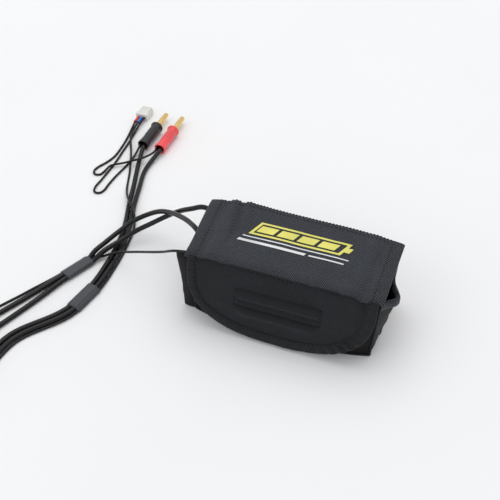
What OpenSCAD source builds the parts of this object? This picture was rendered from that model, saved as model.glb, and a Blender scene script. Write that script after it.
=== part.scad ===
// Charging bag with a two-cell hard-case lithium-polymer pack and its charging leads.
// Origin: on the surface the bag stands on, under the middle of the bag.
// X runs along the bag, the flap faces -Y, Z is up.

/* [Bag] */
// Length of the bag across its lid
bag_length = 125; // [122:1:140]
// Depth of the bag from front to back
bag_depth = 50; // [50:1:56]
// Height of the bag to the top of its lid
bag_height = 52; // [52:1:60]
// Thickness of the nylon panels
fabric = 1.2; // [0.8:0.1:1.4]
// Thickness of the fire-resistant lining
lining = 0.4; // [0.2:0.1:0.5]
// How far the foot of the front panel bulges forward
front_bulge = 8; // [5:0.5:8.5]
// Width of the hem along each short side of the lid
hem_width = 8; // [5:0.5:12]
// How far the left gusset folds out beside the front panel
wing_reach = 9; // [6:0.5:12]
// How far the right gusset bellies out at its top
gusset_belly = 8; // [4:0.5:10]

/* [Flap] */
// Length of the flap from its fold to its lowest point
flap_drop = 49.5; // [44:0.5:49.5]
// Half of the flap's width at the fold
flap_half_width = 60; // [50:1:61]
// Forward lean of the closed flap, in degrees
flap_lean = 11.4; // [10:0.2:13]
// Width of the woven binding round the flap
binding_width = 6.5; // [4:0.5:8]
// Length of the hook strip sewn behind the flap
hook_length = 54; // [40:1:70]
// Height of the hook strip
hook_height = 11.5; // [8:0.5:16]

/* [Battery] */
// Length of the hard case
pack_length = 96; // [94:1:98]
// Width of the hard case
pack_width = 46; // [44:0.5:46]
// Height of the hard case
pack_height = 25; // [24:0.5:27]
// Thickness of the hard case
case_wall = 1.2; // [1:0.1:1.5]
// Diameter of the two power bullets
bullet_d = 5; // [4:0.5:5]
// Diameter of the balance pin
balance_pin_d = 2; // [1.5:0.1:2]

/* [Leads] */
// Outside diameter of a power lead
lead_d = 3.5; // [3:0.1:3.5]
// Outside diameter of a sensing wire
sense_d = 1.7; // [1.2:0.1:1.7]

/* [Plugs] */
// Diameter of the banana pins
banana_d = 4; // [4:0.1:4.2]
// Length of a banana pin in front of its flange
banana_length = 19; // [15:0.5:22]
// Diameter of the plug's front flange
flange_d = 10; // [9:0.5:10]
// Length of the plug's moulded grip
grip_length = 27; // [24:0.5:30]
// Distance between neighbouring contacts of the balance connector
contact_pitch = 2.5; // [2.5:0.1:2.6]

/* [Hidden] */
$fn = 48;

nylon = [0.06, 0.06, 0.07];
tape = [0.09, 0.09, 0.09];
silver = [0.75, 0.76, 0.78];
gold = [0.85, 0.65, 0.25];
black_plastic = [0.05, 0.05, 0.06];
rubber_black = [0.04, 0.04, 0.05];
red = [0.85, 0.05, 0.05];

half_length = bag_length / 2;
half_depth = bag_depth / 2;
lid_thickness = 1.6;
lid_z = bag_height - 0.4 - lid_thickness;
hem_thickness = 1;

// The walls stop short of the lid; the outlet for the leads is a dip in the left gusset.
wall_top = bag_height - 5.7;
outlet_top = bag_height - 12.5;
back_top = lid_z - 0.4;
foot_half = half_length - 5;
inner_y = half_depth - fabric - 0.1 - lining;

// The lid's front edge, and the flap's hinge line (Y and Z), which runs along X.
lid_front_y = -half_depth - 0.2;
flap_hinge_y = -half_depth - 1.7;
flap_hinge_z = lid_z - 0.1;
flap_start = 1.6;
binding_thickness = 2.4;
panel_inset = 0.4;
flap_clearance = 0.3;

// Hook strip, measured down the flap from its fold.
hook_start = 14.5;
hook_thickness = 1;

// Battery: the case lies on the lining, with its sockets at the left end.
pack_x = 1;
pack_z = fabric + lining + 0.4;
pack_top = pack_z + pack_height;
tray_height = 18;
pack_left = pack_x - pack_length / 2;
bay_length = 15;
socket_x = pack_left + 7.5;
socket_y = 12;
cell_length = pack_length - bay_length - 2 * case_wall - 2;
cell_width = pack_width - 2 * case_wall - 2;
cell_height = 9.5;
cell_x = pack_left + case_wall + bay_length + 0.6;
cell_1_z = pack_z + case_wall + 0.9;
cell_2_z = cell_1_z + cell_height + 0.8;
lead_out_z = 33;
boot_r = 4.6;
head_r = 3.6;
boot_top = lead_out_z + 4.2;

// Shared route of the bundle, from the sleeve near the bag round the loop and back past the
// sleeve near the plugs. Third value: lift above the surface. Fourth value: how far apart the
// strands lie, 1 being side by side as in the sleeves.
bundle_route = [
    [-142.8, -11.4, 0.6, 1], [-147, -21, 0.6, 1], [-151.2, -30.6, 0.6, 1],
    [-161, -54, 0, 1.7], [-181, -103, 0, 2.6], [-187.5, -129, 0, 2], [-184, -151, 0, 1.6],
    [-170.5, -160, 0, 1.4], [-157, -152.5, 0, 1.3], [-153, -135, 0, 1.2], [-160, -112, 0, 1.1],
    [-158, -94, 0, 1.1], [-133, -54.6, 0.6, 1], [-131, -44, 0.6, 1], [-129, -33.4, 0.6, 1],
    [-129, -12, 0, 1], [-131, 11, 0, 1], [-136, 33, 0, 1]
];
positive_from_pack = [
    [-43.2, -12, 33], [-47.4, -12, 33.5], [-51.6, -11.2, 36.2], [-56, -9.2, 40.6],
    [-64, -2.5, 45.5], [-75, 8, 42], [-86, 17, 36.5], [-97, 24.5, 30.5], [-108, 29.5, 24],
    [-118, 31, 17], [-127.5, 28.5, 10.8], [-134.5, 18.5, 7.2], [-139.5, 5, 5.8],
    [-143, -5, 4.6]
];
positive_to_plug = [
    [-140.3, 52, 1.8], [-146, 73, 1.8], [-151, 94, 1.9], [-150.4, 109, 3.2], [-149, 118, 5],
    [-149, 124, 5]
];
negative_from_pack = [
    [-43.2, 12, 33], [-47.4, 12.2, 33.5], [-51.6, 13.2, 36.2], [-56, 15.4, 40.6],
    [-62, 19.2, 44.8], [-70, 22.5, 44.5], [-81, 24.5, 38.5], [-92, 27.5, 30.5],
    [-102, 28.2, 22.5], [-112, 25.5, 15.5], [-122, 19, 10.4], [-130, 8.5, 7],
    [-136.5, -3, 5.7]
];
negative_to_plug = [
    [-144, 50.5, 1.8], [-150, 70, 1.8], [-156.5, 90, 1.9], [-161.6, 108, 3.2],
    [-163.4, 118, 5], [-163.4, 124, 5]
];
balance_from_pack = [
    [-42, 0, 33], [-46.2, -1.6, 34.2], [-50, -10, 39.5], [-54.5, -18.4, 45], [-61, -23.2, 47.5],
    [-69, -24.7, 47.2], [-82, -19.5, 37.5], [-112, -7.2, 16.7], [-124, -3.8, 9.4],
    [-132, -4, 5], [-138.5, -5.2, 1.6], [-145.6, -6.6, 1]
];
balance_to_connector = [
    [-131.2, 34, 1.8], [-136.5, 43.8, 4.8], [-145, 53, 5.6], [-152, 63.5, 2],
    [-162.5, 90, 1.2], [-166.6, 100.3, 3], [-173, 113.5, 1.6], [-179.4, 126.3, 3.1],
    [-183, 139, 2], [-183.5, 148, 3], [-183.5, 157, 3]
];
positive_tap_route = [
    [-186, 157, 3], [-186, 148, 3], [-185, 141, 2.4], [-183.2, 127, 1], [-181.9, 113, 0.9],
    [-181.9, 101, 0.9], [-184.5, 92, 0.9], [-187.4, 85.5, 0.9], [-188.3, 80.6, 0.9],
    [-187.2, 77.6, 0.9], [-184.5, 76.3, 0.9], [-181.8, 77.6, 0.9], [-180.6, 80.8, 1.1],
    [-177.6, 88.4, 2.9], [-173.5, 92.3, 2.6], [-168.6, 95, 3.3], [-164.3, 97, 4.6],
    [-159.3, 100, 5.6], [-155, 105, 5.8], [-152.6, 111.5, 5.3], [-152.1, 118, 5],
    [-152.1, 123, 5]
];
negative_tap_route = [
    [-181, 157, 3], [-181, 148, 3], [-180.7, 140, 2], [-179.8, 127, 0.9], [-178.7, 112, 0.9],
    [-177.8, 99, 0.9], [-177.5, 86, 0.9], [-177.8, 72, 0.9], [-177.8, 61, 0.9],
    [-176.6, 57.9, 0.9], [-174, 56.7, 0.9], [-171.4, 57.9, 0.9], [-170.2, 61, 0.9],
    [-170.1, 68, 0.9], [-169.6, 78, 0.9], [-168, 92, 0.9], [-167.1, 103, 1],
    [-166.7, 111, 2.8], [-166.6, 118, 5], [-166.6, 123, 5]
];
power_spacing = 1.9;
sense_spacing = 4.65;
lead_sides = 8;

plug_tail_y = 118;
plug_z = flange_d / 2;
positive_plug_x = -150;
negative_plug_x = -164.5;
connector_x = -183.5;
connector_y = 155;
connector_length = 12;
connector_height = 6;
wire_z = 3;

function unit(v) = v / norm(v);

// Direction of the smooth curve at one point of its route; the nearer neighbour counts more.
function direction(route, i) =
    let (last = len(route) - 1)
    i == 0 ? unit(route[1] - route[0]) :
    i == last ? unit(route[last] - route[last - 1]) :
    let (back = route[i] - route[i - 1], ahead = route[i + 1] - route[i])
    (unit(back) * norm(ahead) + unit(ahead) * norm(back)) / (norm(back) + norm(ahead));

// Point on the smooth curve through the route, u running from 0 to its last index.
function on_route(route, u) =
    let (i = min(floor(u), len(route) - 2),
         t = u - i,
         reach = norm(route[i + 1] - route[i]),
         leaving = direction(route, i) * reach,
         arriving = direction(route, i + 1) * reach)
    route[i] * (1 + t * t * (2 * t - 3)) + leaving * t * (1 - t) * (1 - t)
        + route[i + 1] * t * t * (3 - 2 * t) - arriving * t * t * (1 - t);

// A strand of the bundle, side being its distance to the right of the shared route.
function strand(side, radius) =
    [for (i = [0:len(bundle_route) - 1])
        let (here = bundle_route[i],
             back = bundle_route[max(i - 1, 0)],
             ahead = bundle_route[min(i + 1, len(bundle_route) - 1)],
             way = unit([ahead[0] - back[0], ahead[1] - back[1]]) * here[3])
        [here[0] + way[1] * side, here[1] - way[0] * side, here[2] + radius + 0.05]];
function all_but_last(list) = [for (i = [0:len(list) - 2]) list[i]];

positive_route = concat(positive_from_pack, strand(power_spacing, lead_d / 2), positive_to_plug);
negative_route = concat(negative_from_pack, strand(-power_spacing, lead_d / 2), negative_to_plug);
balance_route = concat(balance_from_pack, all_but_last(strand(sense_spacing, sense_d / 2)),
    balance_to_connector);

module tube(route, radius, rings) {
    step = (len(route) - 1) / (rings - 1);
    centres = [for (i = [0:rings - 1]) on_route(route, i * step)];
    points = [for (i = [0:rings - 1])
        let (way = unit(centres[min(i + 1, rings - 1)] - centres[max(i - 1, 0)]),
             side = unit(cross([0, 0, 1], way)),
             top = cross(way, side))
        for (k = [0:lead_sides - 1])
            centres[i] + radius * (cos(k * 360 / lead_sides) * side
                + sin(k * 360 / lead_sides) * top)];
    walls = [for (i = [0:rings - 2]) for (k = [0:lead_sides - 1])
        let (a = i * lead_sides + k,
             b = i * lead_sides + (k + 1) % lead_sides)
        each [[a, b, b + lead_sides], [a, b + lead_sides, a + lead_sides]]];
    ends = [[for (k = [lead_sides - 1:-1:0]) k],
        [for (k = [0:lead_sides - 1]) (rings - 1) * lead_sides + k]];
    polyhedron(points = points, faces = concat([for (w = walls) [w[2], w[1], w[0]]],
        [for (e = ends) [for (k = [lead_sides - 1:-1:0]) e[k]]]));
}

// A flat box given by its lowest corner and its size.
module block(corner, size) {
    translate(corner)
        cube(size);
}

// A four-cornered patch of fabric, thick in one direction.
module patch(corners, thickness) {
    hull()
        for (corner = corners)
            translate(corner)
                cube([thickness[0], thickness[1], 0.1], center = true);
}

module bottom_panel() {
    color(nylon)
        linear_extrude(fabric)
            polygon([
                [-foot_half, half_depth], [foot_half, half_depth], [foot_half, -half_depth],
                [42, -half_depth - 0.85 * front_bulge], [20, -half_depth - front_bulge],
                [-20, -half_depth - front_bulge], [-42, -half_depth - 0.85 * front_bulge],
                [-foot_half, -half_depth]
            ]);
}

module back_panel() {
    color(nylon)
        translate([0, half_depth, 0])
            rotate([90, 0, 0])
                linear_extrude(fabric)
                    polygon([
                        [-foot_half, fabric], [foot_half, fabric],
                        [half_length - 1, back_top], [-half_length + 1, back_top]
                    ]);
}

// The front panel bulges towards its foot, where the pack pushes it out.
module front_solid() {
    foot = fabric + 0.1;
    hull() {
        patch([
            [-foot_half, -half_depth + fabric / 2, foot],
            [foot_half, -half_depth + fabric / 2, foot],
            [half_length - 1, -half_depth + fabric / 2, wall_top],
            [-half_length + 1, -half_depth + fabric / 2, wall_top]
        ], [0.4, fabric]);
        patch([
            [-42, -half_depth - 0.85 * front_bulge, foot],
            [42, -half_depth - 0.85 * front_bulge, foot],
            [38, -half_depth - 0.7 * front_bulge, 14],
            [-38, -half_depth - 0.7 * front_bulge, 14]
        ], [0.4, 0.1]);
        patch([
            [-20, -half_depth - front_bulge, foot], [20, -half_depth - front_bulge, foot],
            [20, -half_depth - 0.75 * front_bulge, 14], [-20, -half_depth - 0.75 * front_bulge, 14]
        ], [0.4, 0.1]);
    }
}

module front_panel() {
    color(nylon)
        difference() {
            front_solid();
            translate([0, fabric, 0])
                front_solid();
        }
}

// The left gusset has its slack folded out flat beside the front panel, like a small wing,
// and dips towards the back where the leads come out.
module left_gusset() {
    front = -half_depth + 1.5 * fabric + 0.15;
    back = half_depth - 1.5 * fabric - 0.15;
    top_in = -half_length + 1;
    color(nylon)
        union() {
            patch([
                [-foot_half - 0.6, front + 0.3, fabric + 0.1],
                [-foot_half - 0.6 - wing_reach, front + 0.3, 0.5],
                [top_in - 0.4 - wing_reach + 1, front + 0.3, wall_top - 0.5],
                [top_in - 0.6, front + 0.3, wall_top]
            ], [0.8, 2 * fabric]);
            patch([
                [-foot_half - 0.2, front, fabric + 0.1], [top_in + 1.6, front, wall_top],
                [-foot_half - 0.2, front + 9, fabric + 0.1], [top_in + 1.6, front + 9, outlet_top]
            ], [fabric, fabric]);
            patch([
                [-foot_half - 0.2, front + 8.5, fabric + 0.1],
                [-foot_half - 0.2, back, fabric + 0.1],
                [top_in + 1.6, front + 8.5, outlet_top],
                [top_in + 1.6, back, outlet_top]
            ], [fabric, fabric]);
        }
}

// The right gusset is creased down its middle and bellies out towards the top.
module right_gusset() {
    side = foot_half + 0.2;
    top_side = half_length - 2.6;
    mid_y = -0.25 * half_depth;
    front = -half_depth + fabric + 1.1;
    back = half_depth - fabric - 1.1;
    foot = fabric + 0.1;
    color(nylon)
        union() {
            patch([
                [side, front, foot], [side, mid_y, foot], [top_side, front, wall_top],
                [top_side + gusset_belly, mid_y - 3, wall_top]
            ], [fabric, fabric]);
            patch([
                [side, back, foot], [side, mid_y, foot], [top_side, back, wall_top],
                [top_side + gusset_belly, mid_y - 3, wall_top]
            ], [fabric, fabric]);
        }
}

// Folded hems along the top edges of both gussets.
module gusset_hems() {
    front = -half_depth + fabric + 1.1;
    back = half_depth - fabric - 1.1;
    mid_y = -0.25 * half_depth - 3;
    top_side = half_length - 2.6;
    low = wall_top + 0.1;
    color(tape)
        union() {
            hull() {
                block([top_side - 0.9, front - 0.9, low], [1.8, 1.8, 0.8]);
                block([top_side + gusset_belly - 0.9, mid_y - 0.9, low], [1.8, 1.8, 0.8]);
            }
            hull() {
                block([top_side - 0.9, back - 0.9, low], [1.8, 1.8, 0.8]);
                block([top_side + gusset_belly - 0.9, mid_y - 0.9, low], [1.8, 1.8, 0.8]);
            }
            block([-half_length + 1.8, -half_depth + 12, outlet_top + 0.1],
                [1.8, 2 * half_depth - 14, 0.8]);
        }
}

// The lining stands against all four walls and covers the floor.
module fire_liner() {
    low = fabric + 0.05;
    side = foot_half - 1.2;
    color(silver)
        difference() {
            block([-side, -inner_y - lining, low],
                [2 * side, 2 * (inner_y + lining), wall_top - 1 - low]);
            block([-side + lining, -inner_y, low + lining],
                [2 * (side - lining), 2 * inner_y, wall_top]);
            block([-side - 1, -inner_y - 1, outlet_top - 2.5],
                [lining + 2, 2 * inner_y + 2, wall_top]);
        }
}

module loop_strip() {
    lean = atan((0.75 * front_bulge - 0.2) / (wall_top - 14));
    color(tape)
        translate([0, -half_depth - 0.75 * front_bulge - 0.15, 14])
            rotate([-lean, 0, 0])
                block([-hook_length / 2 - 3, -hook_thickness, 4],
                    [hook_length + 6, hook_thickness, 20]);
}

module lid_panel() {
    color(nylon)
        block([-half_length, lid_front_y, lid_z],
            [bag_length, half_depth - lid_front_y, lid_thickness]);
}

module lid_hem(left) {
    color(tape)
        block([left, lid_front_y + 1, lid_z - hem_thickness],
            [hem_width, half_depth - lid_front_y - 3, hem_thickness]);
}

module lid_hem_left() {
    lid_hem(-half_length);
}

module lid_hem_right() {
    lid_hem(half_length - hem_width);
}

// A battery outline with four charge bars, over a line, printed on the lid.
module lid_print() {
    height = 0.15;
    color("gold")
        translate([0, 0, lid_z + lid_thickness])
            union() {
                linear_extrude(height)
                    difference() {
                        translate([-34, -3])
                            square([64, 14]);
                        translate([-32.4, -1.4])
                            square([60.8, 10.8]);
                    }
                block([30, 0.5, 0], [3.4, 7, height]);
                for (i = [0:3])
                    block([-30.6 + 14.8 * i, 0.4, 0], [12.4, 7.2, height]);
                block([-36, -6.6, 0], [72, 1.4, height]);
            }
}

// Outline of the flap, X across and Y down from the fold: straight sides into a wide curve.
function flap_outline(inset) =
    let (half = flap_half_width - inset, straight = 8, curve = flap_drop - inset - straight)
    concat(
        [[-half, flap_start]],
        [for (a = [0:6:180])
            [-half * sign(cos(a)) * pow(abs(cos(a)), 0.8), straight + curve * pow(sin(a), 0.8)]],
        [[half, flap_start]]);

// Moves the flap's flat shape, drawn with Y down from the fold, to its closed place.
module on_flap(depth) {
    translate([0, flap_hinge_y, flap_hinge_z])
        rotate([-90 - flap_lean, 0, 0])
            translate([0, 0, -depth])
                children();
}

module flap_panel() {
    color(nylon)
        on_flap(flap_clearance + binding_thickness - panel_inset)
            linear_extrude(binding_thickness - 2 * panel_inset)
                polygon(flap_outline(binding_width + 0.05));
}

module flap_binding() {
    color(tape)
        on_flap(flap_clearance + binding_thickness)
            linear_extrude(binding_thickness)
                difference() {
                    polygon(flap_outline(0));
                    polygon(concat(flap_outline(binding_width),
                        [[flap_half_width - binding_width, 0], [binding_width - flap_half_width, 0]]));
                }
}

module hook_strip() {
    color(tape)
        on_flap(flap_clearance + panel_inset)
            block([-hook_length / 2, hook_start, 0.05],
                [hook_length, hook_height, hook_thickness - 0.1]);
}

// Plan of the hard case with rounded corners.
module case_plan(inset) {
    radius = 3 - inset;
    x = pack_length / 2 - 3;
    y = pack_width / 2 - 3;
    translate([pack_x, 0])
        union() {
            square([2 * x, 2 * (y + radius)], center = true);
            square([2 * (x + radius), 2 * y], center = true);
            for (sx = [-1, 1])
                for (sy = [-1, 1])
                    translate([sx * x, sy * y])
                        circle(radius);
        }
}

module case_tray() {
    color(black_plastic)
        translate([0, 0, pack_z])
            difference() {
                linear_extrude(tray_height)
                    case_plan(0);
                translate([0, 0, case_wall])
                    linear_extrude(tray_height)
                        case_plan(case_wall);
            }
}

module case_cover() {
    low = pack_z + tray_height + 0.05;
    color(black_plastic)
        difference() {
            translate([0, 0, low])
                linear_extrude(pack_top - low)
                    case_plan(0);
            translate([0, 0, low - 1])
                linear_extrude(pack_top - low + 1 - case_wall)
                    case_plan(case_wall);
            for (y = [-socket_y, socket_y])
                translate([socket_x, y, low])
                    cylinder(h = 20, r = bullet_d / 2 + 1);
            translate([socket_x, 0, low])
                cylinder(h = 20, r = balance_pin_d / 2 + 1);
        }
}

// Each pouch cell has a thicker body inside a narrow sealed rim.
module pouch_cell(z) {
    color(silver)
        union() {
            block([cell_x + 1.5, -cell_width / 2 + 1.5, z],
                [cell_length - 3, cell_width - 3, cell_height]);
            block([cell_x, -cell_width / 2, z + cell_height / 2 - 0.4],
                [cell_length, cell_width, 0.8]);
        }
}

module cell_1() {
    pouch_cell(cell_1_z);
}

module cell_2() {
    pouch_cell(cell_2_z);
}

module cell_tabs() {
    color(silver)
        for (z = [cell_1_z, cell_2_z])
            for (y = [-12, 12])
                block([cell_x - 3.3, y - 4, z + cell_height / 2 - 0.2], [3.2, 8, 0.4]);
}

module foam_pads() {
    levels = [cell_1_z - 0.85, cell_1_z + cell_height + 0.05, cell_2_z + cell_height + 0.05];
    color([0.2, 0.2, 0.22])
        for (z = levels)
            block([cell_x + 2, -cell_width / 2 + 2, z], [cell_length - 4, cell_width - 4, 0.65]);
}

module balance_board() {
    color([0.05, 0.3, 0.15])
        block([cell_x - 4.6, -16, cell_1_z + 1], [1, 32, 17]);
}

module bus_bars() {
    color(silver)
        for (y = [-socket_y, socket_y])
            block([socket_x + bullet_d / 2 + 0.9, y - 3.5, cell_1_z + 2], [0.8, 7, 15]);
}

module female_socket(y, d, wall) {
    color(gold)
        translate([socket_x, y, pack_top - 14])
            difference() {
                cylinder(h = 13.9, r = d / 2 + wall);
                translate([0, 0, 1])
                    cylinder(h = 14, r = d / 2);
            }
}

module positive_socket() {
    female_socket(-socket_y, bullet_d, 0.7);
}

module negative_socket() {
    female_socket(socket_y, bullet_d, 0.7);
}

module balance_socket() {
    female_socket(0, balance_pin_d, 0.6);
}

module pack_label() {
    color([0.1, 0.35, 0.7])
        block([pack_x - 28, -17, pack_top + 0.02], [68, 34, 0.2]);
}

// Male bullet: a slim pin with a solder head that takes the lead from the side.
module male_bullet(y, d, head) {
    color(gold)
        translate([socket_x, y, 0])
            union() {
                translate([0, 0, pack_top - 12])
                    cylinder(h = 12.4, r = d / 2 - 0.06);
                translate([0, 0, pack_top + 0.3])
                    cylinder(h = boot_top - 1 - pack_top, r = head);
            }
}

module positive_bullet() {
    male_bullet(-socket_y, bullet_d, head_r);
}

module negative_bullet() {
    male_bullet(socket_y, bullet_d, head_r);
}

module balance_pin() {
    male_bullet(0, balance_pin_d, 1.8);
}

// Moulded cap over a bullet's head, with a side spout that grips the lead.
module bullet_boot(y, outer, head, wire_r, spout_r, spout_end) {
    low = pack_top + 0.5;
    translate([socket_x, y, 0])
        difference() {
            union() {
                translate([0, 0, low])
                    cylinder(h = boot_top - low, r = outer);
                translate([0, 0, lead_out_z])
                    rotate([0, -90, 0])
                        cylinder(h = spout_end, r = spout_r);
            }
            translate([0, 0, low - 1])
                cylinder(h = boot_top - 0.6 - low + 1, r = head + 0.05);
            translate([0, 0, lead_out_z])
                rotate([0, -90, 0])
                    cylinder(h = spout_end + 1, r = wire_r + 0.08);
        }
}

module positive_boot() {
    color(red)
        bullet_boot(-socket_y, boot_r, head_r, lead_d / 2, 2.7, 7.6);
}

module negative_boot() {
    color(rubber_black)
        bullet_boot(socket_y, boot_r, head_r, lead_d / 2, 2.7, 7.6);
}

module balance_boot() {
    color(rubber_black)
        bullet_boot(0, 2.6, 1.8, sense_d / 2, 1.6, 3.9);
}

module positive_lead() {
    color(rubber_black)
        tube(positive_route, lead_d / 2, 3 * len(positive_route));
}

module negative_lead() {
    color(rubber_black)
        tube(negative_route, lead_d / 2, 3 * len(negative_route));
}

module balance_lead() {
    color(rubber_black)
        tube(balance_route, sense_d / 2, 3 * len(balance_route));
}

module positive_tap_wire() {
    color(rubber_black)
        tube(positive_tap_route, sense_d / 2, 44);
}

module negative_tap_wire() {
    color(rubber_black)
        tube(negative_tap_route, sense_d / 2, 44);
}

// A flat sleeve round the three strands, on the straight stretch between two route points.
module bundle_sleeve(from, to) {
    way = [to[0] - from[0], to[1] - from[1]];
    middle = [(from[0] + to[0]) / 2, (from[1] + to[1]) / 2];
    wall = 0.5;
    inner_w = power_spacing + lead_d / 2 + sense_spacing + sense_d / 2 + 0.7;
    inner_h = lead_d + 0.4;
    shift = (sense_spacing + sense_d / 2 - power_spacing - lead_d / 2) / 2;
    color([0.16, 0.16, 0.18])
        translate([middle[0], middle[1], 0])
            rotate([0, 0, atan2(way[1], way[0])])
                translate([-norm(way) / 2, 0, 0])
                    rotate([90, 0, 90])
                        linear_extrude(norm(way))
                            difference() {
                                sleeve_plan(-shift, inner_w + 2 * wall, inner_h + 2 * wall, 0);
                                sleeve_plan(-shift, inner_w, inner_h, wall);
                            }
}

module sleeve_plan(x, width, height, low) {
    radius = 1.2;
    translate([x, low + height / 2])
        union() {
            square([width - 2 * radius, height], center = true);
            square([width, height - 2 * radius], center = true);
            for (sx = [-1, 1])
                for (sy = [-1, 1])
                    translate([sx * (width / 2 - radius), sy * (height / 2 - radius)])
                        circle(radius);
        }
}

module pack_end_sleeve() {
    bundle_sleeve(bundle_route[0], bundle_route[2]);
}

module charger_end_sleeve() {
    bundle_sleeve(bundle_route[12], bundle_route[14]);
}

// Grip of a banana plug: front flange, ribbed barrel and a flared tail, hollow for the leads.
module plug_grip(x, shade) {
    barrel_r = 3.9;
    tail_r = 4.5;
    bore_r = 3.4;
    color(shade)
        translate([x, plug_tail_y + grip_length, plug_z])
            rotate([90, 0, 0])
                rotate_extrude()
                    polygon([
                        [2.3, 0], [flange_d / 2, 0], [flange_d / 2, 1.6], [barrel_r + 0.3, 3],
                        [barrel_r, 5], [barrel_r, grip_length - 6], [tail_r, grip_length - 1],
                        [tail_r, grip_length], [bore_r, grip_length], [bore_r, grip_length - 9],
                        [2.3, grip_length - 12]
                    ]);
}

module plug_pin(x) {
    rear = 14;
    color(gold)
        translate([x, plug_tail_y + grip_length, plug_z])
            union() {
                rotate([-90, 0, 0])
                    cylinder(h = banana_length - 1, r = banana_d / 2);
                translate([0, banana_length - 1, 0])
                    rotate([-90, 0, 0])
                        cylinder(h = 1, r1 = banana_d / 2, r2 = banana_d / 2 - 0.8);
                rotate([90, 0, 0])
                    cylinder(h = rear, r = banana_d / 2 + 0.2);
            }
}

module positive_plug_grip() {
    plug_grip(positive_plug_x, red);
}

module positive_plug_pin() {
    plug_pin(positive_plug_x);
}

module negative_plug_grip() {
    plug_grip(negative_plug_x, black_plastic);
}

module negative_plug_pin() {
    plug_pin(negative_plug_x);
}

// Three-way housing with a polarising notch; the mating face looks towards +Y.
module balance_connector() {
    width = 2 * contact_pitch + 5;
    color([0.9, 0.89, 0.85])
        difference() {
            block([connector_x - width / 2, connector_y, 0],
                [width, connector_length, connector_height]);
            for (i = [-1:1])
                block([connector_x + i * contact_pitch - 0.95, connector_y - 1, wire_z - 0.95],
                    [1.9, connector_length + 2, 1.9]);
            block([connector_x - width / 2 - 1, connector_y + 4, connector_height - 1.2],
                [2, connector_length, 2]);
            block([connector_x + width / 2 - 1, connector_y + 4, connector_height - 1.2],
                [2, connector_length, 2]);
        }
}

module connector_contacts() {
    color(silver)
        for (i = [-1:1])
            block([connector_x + i * contact_pitch - 0.7, connector_y + 2.2, wire_z - 0.7],
                [1.4, 8, 1.4]);
}

module marker_sleeve(x, shade) {
    color(shade)
        translate([x, connector_y - 0.1, wire_z])
            rotate([90, 0, 0])
                difference() {
                    cylinder(h = 7, r = sense_d / 2 + 0.35);
                    translate([0, 0, -1])
                        cylinder(h = 9, r = sense_d / 2 + 0.1);
                }
}

module marker_sleeve_red() {
    marker_sleeve(connector_x - contact_pitch, red);
}

module marker_sleeve_blue() {
    marker_sleeve(connector_x, [0.1, 0.45, 0.9]);
}

bottom_panel();
back_panel();
front_panel();
left_gusset();
right_gusset();
gusset_hems();
fire_liner();
loop_strip();
lid_panel();
lid_hem_left();
lid_hem_right();
lid_print();
flap_panel();
flap_binding();
hook_strip();
case_tray();
case_cover();
cell_1();
cell_2();
cell_tabs();
foam_pads();
balance_board();
bus_bars();
positive_socket();
negative_socket();
balance_socket();
pack_label();
positive_bullet();
negative_bullet();
balance_pin();
positive_boot();
negative_boot();
balance_boot();
positive_lead();
negative_lead();
balance_lead();
pack_end_sleeve();
charger_end_sleeve();
positive_plug_grip();
positive_plug_pin();
negative_plug_grip();
negative_plug_pin();
positive_tap_wire();
negative_tap_wire();
balance_connector();
connector_contacts();
marker_sleeve_red();
marker_sleeve_blue();
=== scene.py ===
import functools
import math

import bpy
import numpy as np
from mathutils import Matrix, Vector, noise


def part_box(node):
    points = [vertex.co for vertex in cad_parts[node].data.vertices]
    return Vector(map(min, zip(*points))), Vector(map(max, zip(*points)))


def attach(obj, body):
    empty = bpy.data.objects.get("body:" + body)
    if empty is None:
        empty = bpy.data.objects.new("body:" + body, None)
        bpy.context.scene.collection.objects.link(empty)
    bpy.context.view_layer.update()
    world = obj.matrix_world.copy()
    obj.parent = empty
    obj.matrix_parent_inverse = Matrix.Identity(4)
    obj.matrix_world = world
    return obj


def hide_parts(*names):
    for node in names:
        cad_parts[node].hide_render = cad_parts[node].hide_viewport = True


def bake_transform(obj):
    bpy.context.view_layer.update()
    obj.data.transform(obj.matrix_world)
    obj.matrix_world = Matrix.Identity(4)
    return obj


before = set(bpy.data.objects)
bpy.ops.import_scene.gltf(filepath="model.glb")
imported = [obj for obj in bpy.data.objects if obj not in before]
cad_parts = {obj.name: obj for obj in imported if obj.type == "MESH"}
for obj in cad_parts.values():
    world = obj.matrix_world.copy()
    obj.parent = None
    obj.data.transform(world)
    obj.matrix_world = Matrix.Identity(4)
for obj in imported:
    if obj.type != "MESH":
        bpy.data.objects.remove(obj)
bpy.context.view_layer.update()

# Looks for the charging bag with its lithium-polymer pack and leads, built round the CAD frame.

MM = 0.001

# ---------------------------------------------------------------- camera, floor and light

def add_object(name, data):
    item = bpy.data.objects.new(name, data)
    bpy.context.collection.objects.link(item)
    return item


def build_camera():
    data = bpy.data.cameras.new("camera")
    data.sensor_width = 36
    data.lens = 62.3
    camera = add_object("camera", data)
    camera.location = (0.1092, -0.3748, 0.4148)
    camera.rotation_euler = (math.radians(90 - 43.23), 0, math.radians(20.37))
    bpy.context.scene.camera = camera


def area_light(name, place, target, size, watts, colour):
    data = bpy.data.lights.new(name, "AREA")
    data.shape = "DISK"
    data.size = size
    data.energy = watts
    data.color = colour
    light = add_object(name, data)
    light.location = place
    way = Vector(target) - Vector(place)
    light.rotation_euler = way.to_track_quat("-Z", "Y").to_euler()


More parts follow.
